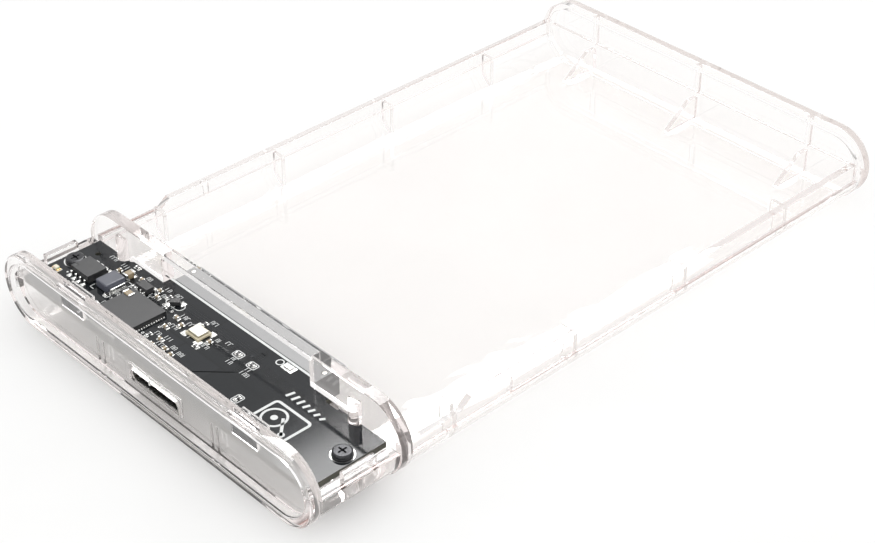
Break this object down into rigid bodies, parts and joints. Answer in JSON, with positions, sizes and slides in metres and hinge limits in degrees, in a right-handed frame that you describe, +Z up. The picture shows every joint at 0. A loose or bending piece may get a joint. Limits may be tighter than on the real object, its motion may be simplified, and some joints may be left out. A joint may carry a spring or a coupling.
{
  "type": "open clear enclosure base for a 2.5 inch hard disk drive",
  "caption": "Open clear plastic base of a tool-free 2.5 inch hard disk enclosure, with a drive bay, a USB-to-SATA bridge board and both sockets.",
  "frame": {"origin": "middle of the underside, on the surface that the case stands on", "axes": "+X to the right seen from the USB socket end, +Y from the USB socket end to the rear end, +Z up"},
  "size_m": [0.0804, 0.134, 0.014],
  "materials": {
    "clear_plastic": "clear polished moulding",
    "solder_mask": "glossy black solder mask on glass-fibre board",
    "black_screw": "blackened steel",
    "socket_metal": "tin-plated pressed steel",
    "black_plastic": "black moulded insulator",
    "grey_plastic": "grey moulded housing",
    "gold_plate": "gold flash on copper alloy",
    "chip_epoxy": "dark moulded epoxy",
    "solder": "tinned",
    "ferrite": "dark blue-grey ferrite",
    "ceramic": "fired ceramic",
    "crystal_metal": "plated lid",
    "capacitor_body": "tan fired ceramic",
    "resistor_body": "black glaze",
    "led_body": "milky resin"
  },
  "bodies": {
    "root": {"tray": "clear_plastic", "circuit_board": "solder_mask", "board_screws": "black_screw", "usb_shell": "socket_metal", "usb_insulator": "black_plastic", "usb_contacts": "gold_plate", "sata_housing": "grey_plastic", "sata_data_contacts": "gold_plate", "sata_power_contacts": "gold_plate", "sata_pegs": "socket_metal", "bridge_chip": "chip_epoxy", "bridge_chip_leads": "solder", "flash_chip": "chip_epoxy", "flash_chip_leads": "solder", "power_inductor": "ferrite", "inductor_terminals": "solder", "regulator_chip": "chip_epoxy", "regulator_leads": "solder", "crystal_base": "ceramic", "crystal_can": "crystal_metal", "bulk_capacitors": "capacitor_body", "bulk_capacitor_ends": "solder", "chip_capacitors": "capacitor_body", "chip_capacitor_ends": "solder", "chip_resistors": "resistor_body", "chip_resistor_ends": "solder", "protection_diode": "chip_epoxy", "diode_leads": "solder", "activity_led": "led_body", "led_terminals": "gold_plate", "ground_tab": "solder"}
  },
  "joints": []
}
